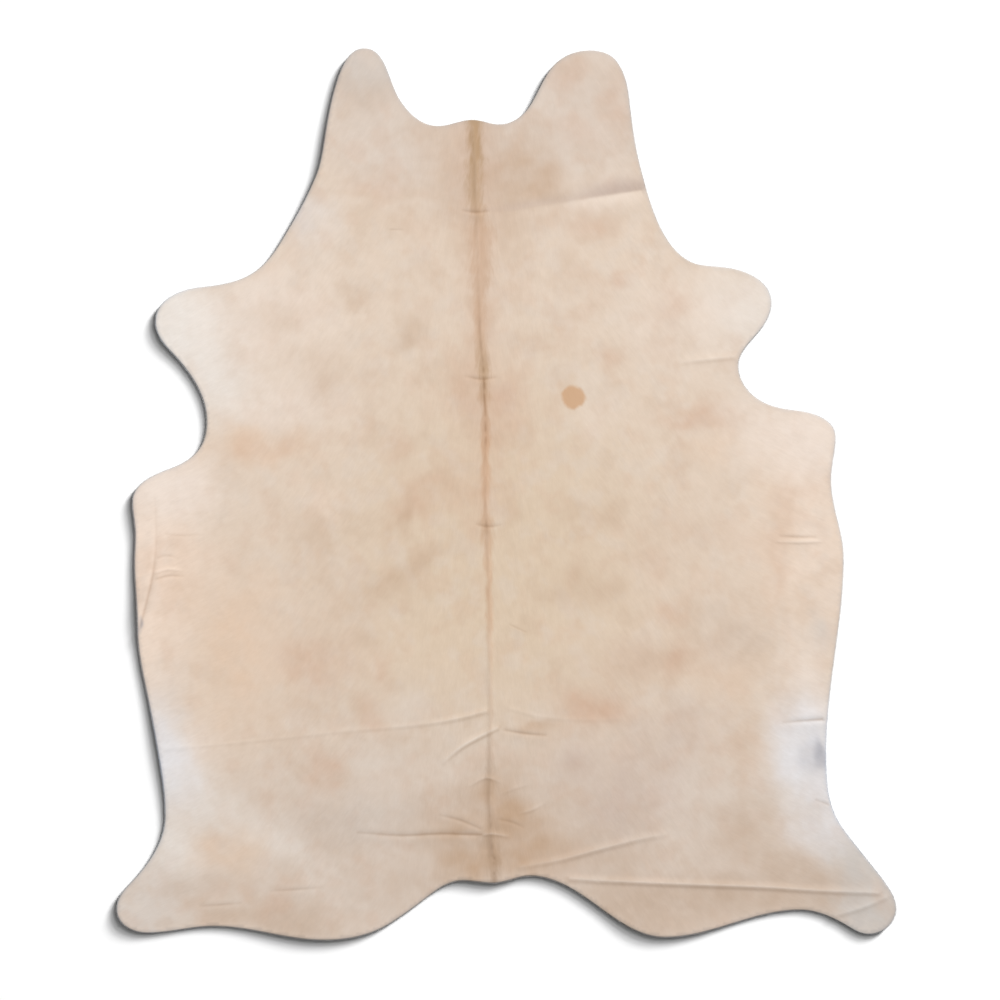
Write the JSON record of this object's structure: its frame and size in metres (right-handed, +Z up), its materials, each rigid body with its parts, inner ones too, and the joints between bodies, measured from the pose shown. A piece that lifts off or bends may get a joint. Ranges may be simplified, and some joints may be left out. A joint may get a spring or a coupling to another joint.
{
  "type": "cowhide rug",
  "caption": "Whole hair-on cowhide laid flat as a rug, natural cream, trimmed to its own outline of neck, forelegs, belly, hind legs and tail, with soft packing folds.",
  "frame": {"origin": "on the floor, below the middle of the box around the hide's outline", "axes": "+Z up out of the hair side, +Y towards the neck, +X towards the hide's right side as it lies"},
  "size_m": [1.868, 2.138, 0.0076],
  "materials": {
    "hair": "short lying hair, matt with a faint sheen"
  },
  "bodies": {
    "root": {"hide": "hair"}
  },
  "joints": []
}
